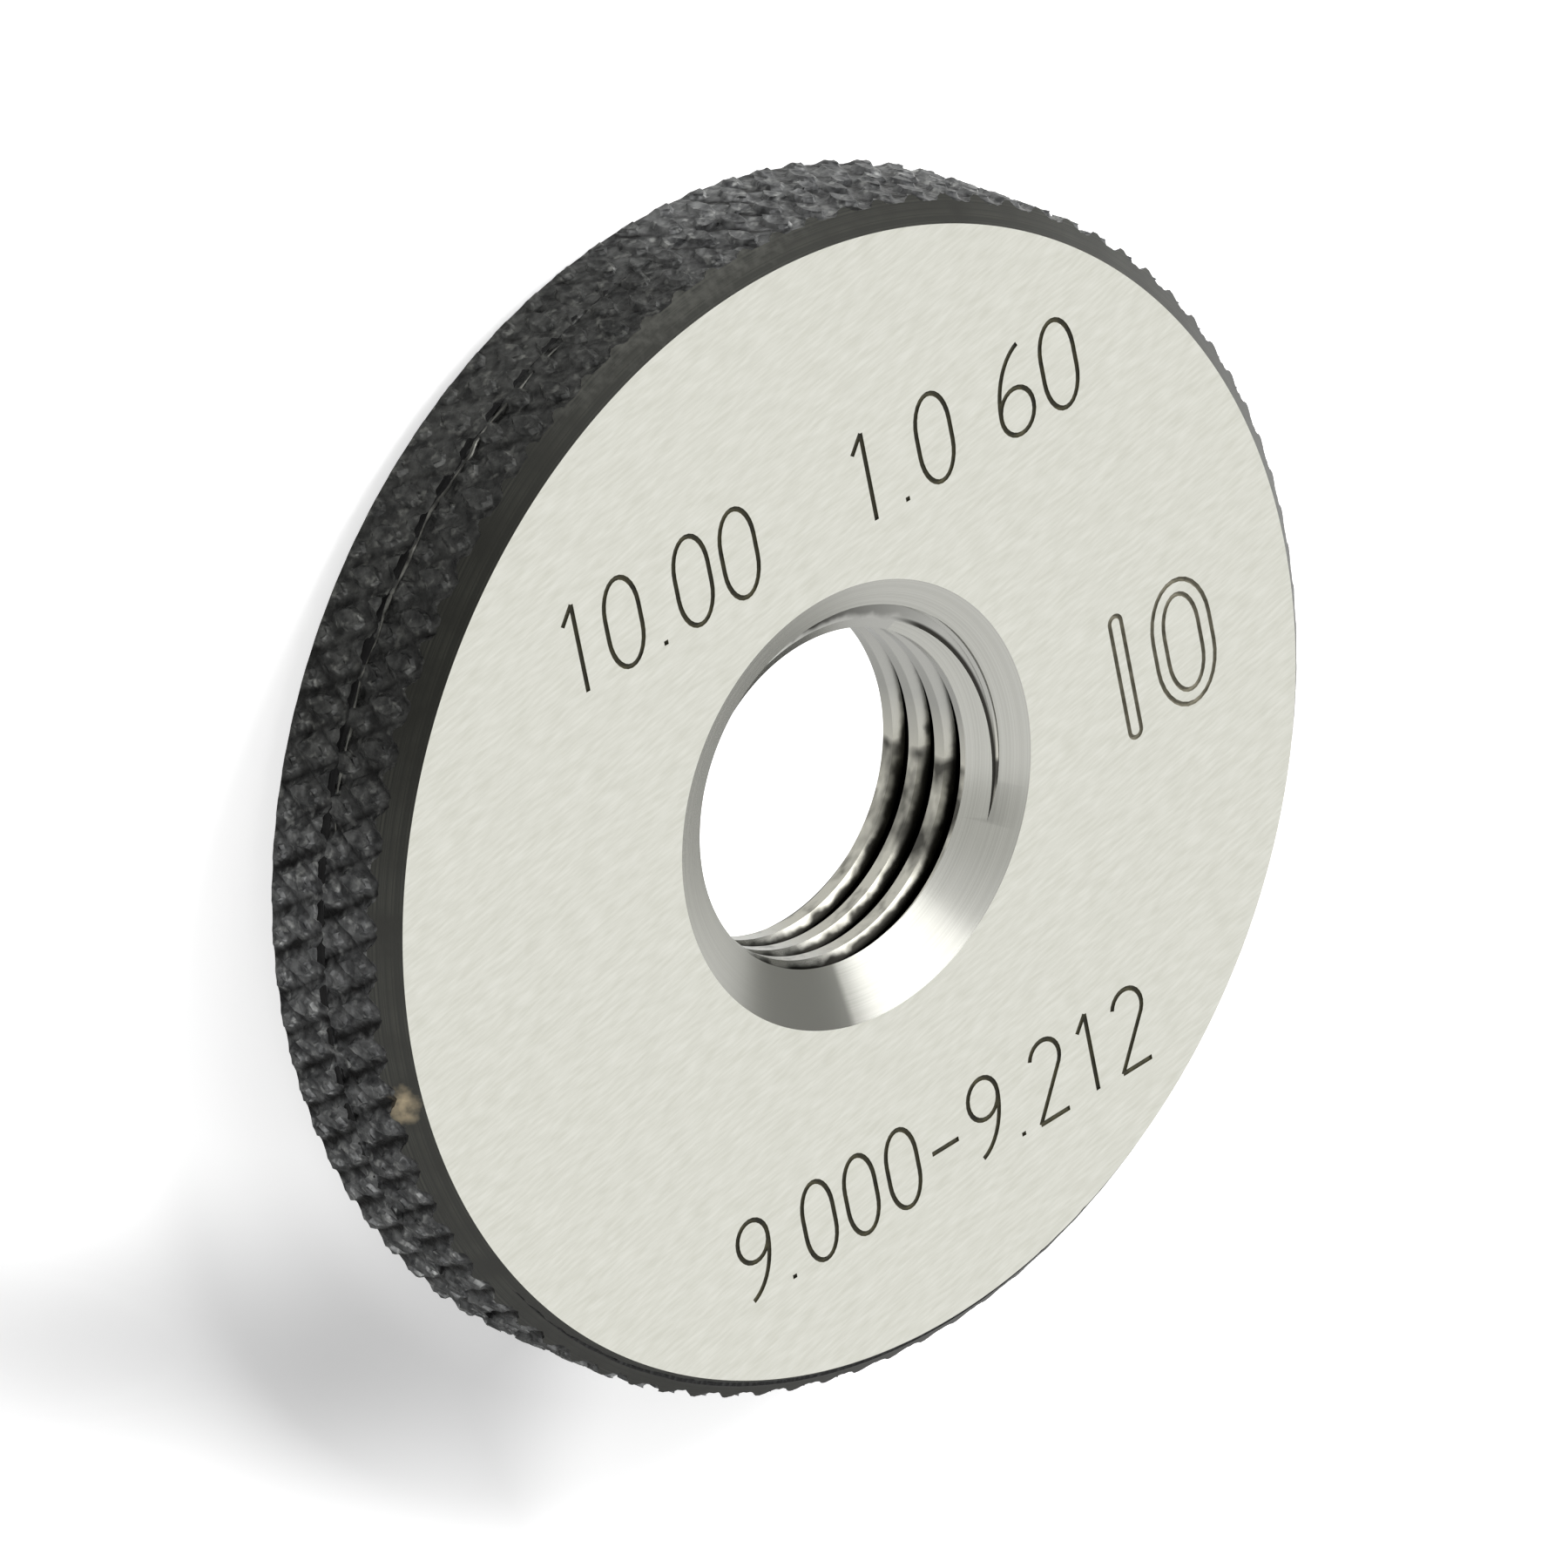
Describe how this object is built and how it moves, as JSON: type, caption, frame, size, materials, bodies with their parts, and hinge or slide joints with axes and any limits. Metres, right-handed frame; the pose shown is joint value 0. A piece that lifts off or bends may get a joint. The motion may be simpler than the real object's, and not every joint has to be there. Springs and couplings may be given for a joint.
{
  "type": "thread ring gauge",
  "caption": "Flat steel ring gauge with a diamond-knurled black rim, ground faces and a countersunk left-hand thread through the middle.",
  "frame": {"origin": "middle of the plain face that the ring rests on, on the axis of the thread", "axes": "+Z along the axis of the thread, out of the marked face; +X along the reading direction of the marks"},
  "size_m": [0.032, 0.032, 0.005],
  "materials": {
    "tool_steel": "hardened tool steel, faces ground bright, countersinks and thread bare, rim and knurl blackened"
  },
  "bodies": {
    "root": {"gauge_ring": "tool_steel"}
  },
  "joints": []
}
